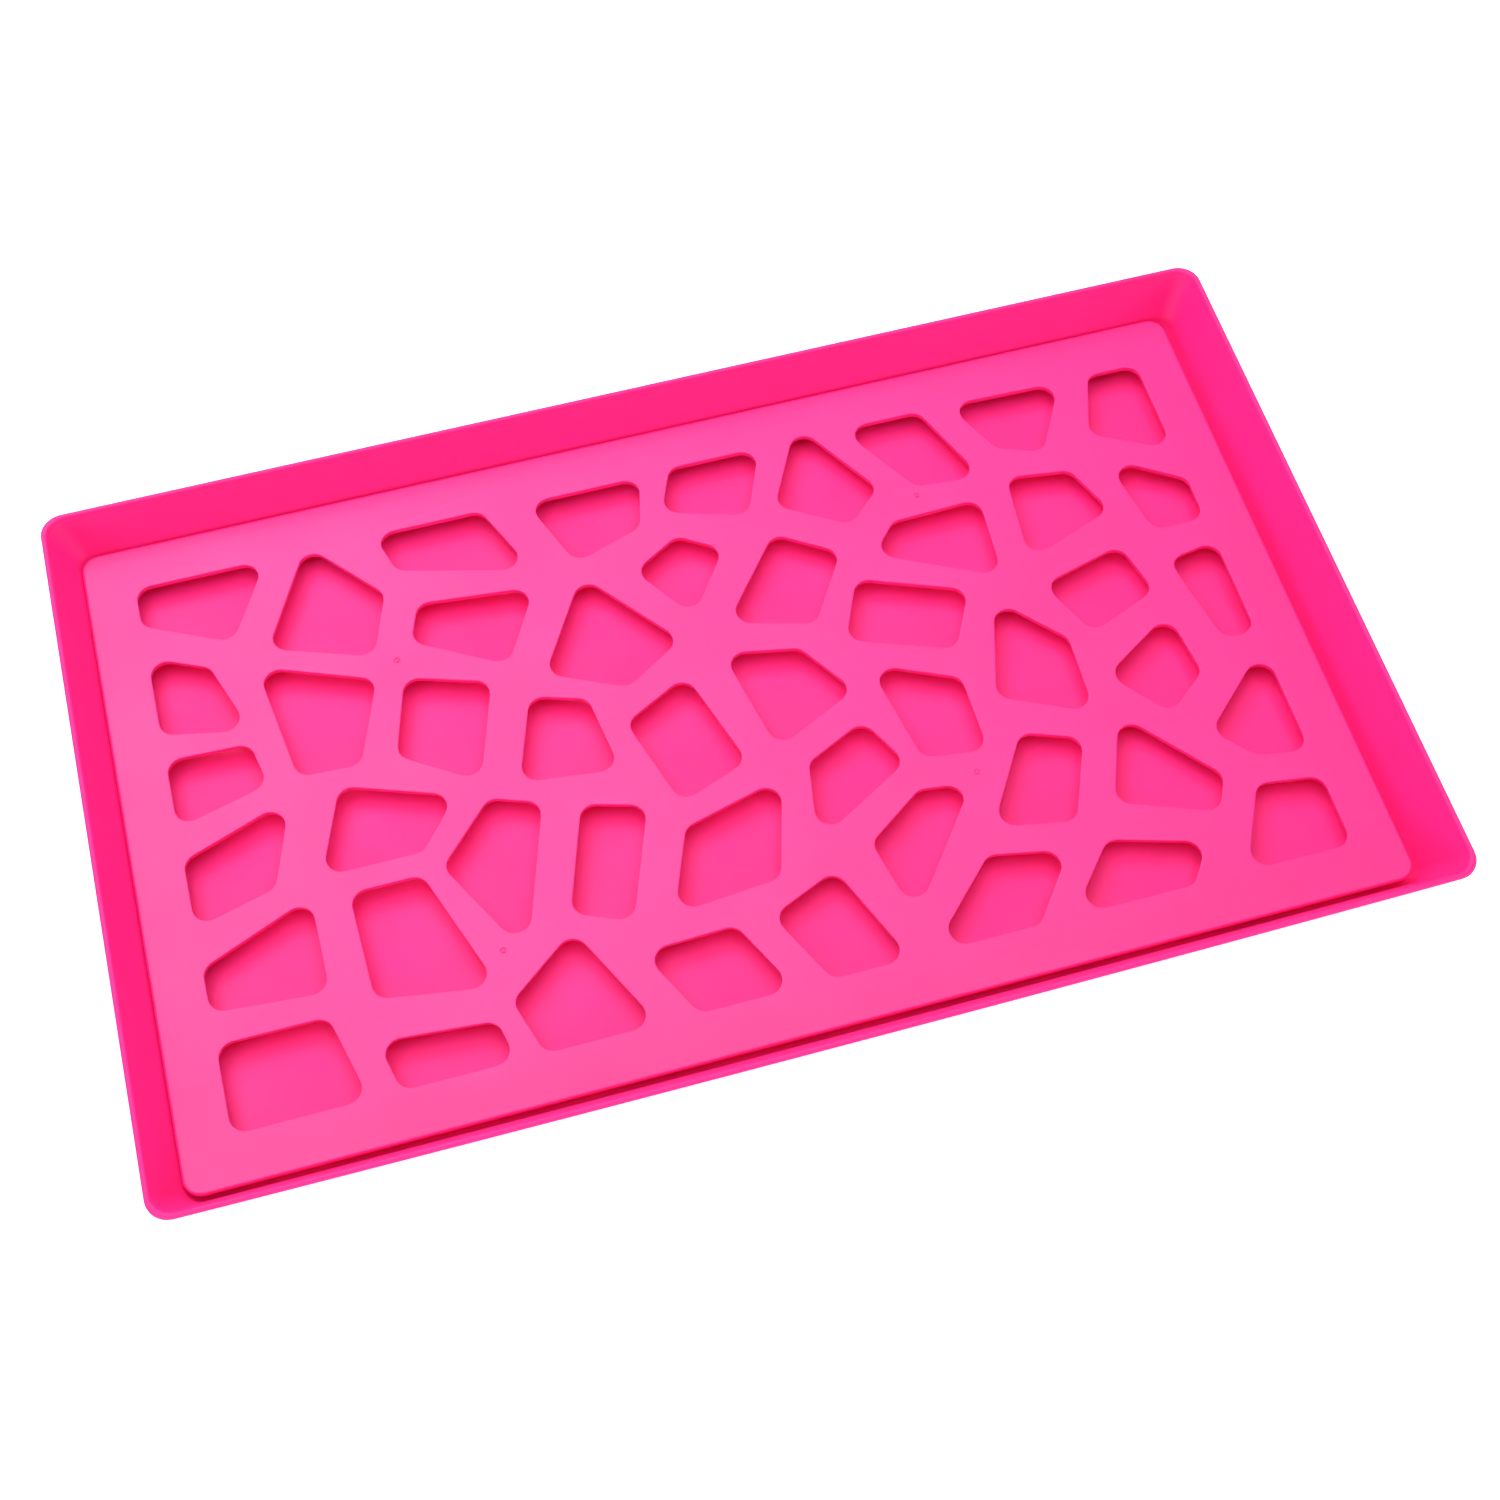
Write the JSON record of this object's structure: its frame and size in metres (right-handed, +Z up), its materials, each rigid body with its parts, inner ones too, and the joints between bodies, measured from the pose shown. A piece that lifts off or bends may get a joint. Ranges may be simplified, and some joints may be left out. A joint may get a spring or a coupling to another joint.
{
  "type": "draining tray",
  "caption": "Shallow moulded plastic drip tray with leaning walls and a lift-out draining plate pierced by irregular four-sided openings.",
  "frame": {"origin": "middle of the tray's flat underside, where it meets the table", "axes": "+X along the length of the tray, +Y across its width, +Z up out of the tray"},
  "size_m": [0.41, 0.25, 0.025],
  "materials": {
    "tray_plastic": "satin",
    "insert_plastic": "satin"
  },
  "bodies": {
    "tray_body": {"tray": "tray_plastic"},
    "insert_body": {"draining_insert": "insert_plastic"}
  },
  "joints": [
    {"name": "insert_lift", "type": "slide", "parent": "tray_body", "child": "insert_body", "axis": [0, 0, 1], "range_m": [0, 0.04]}
  ]
}
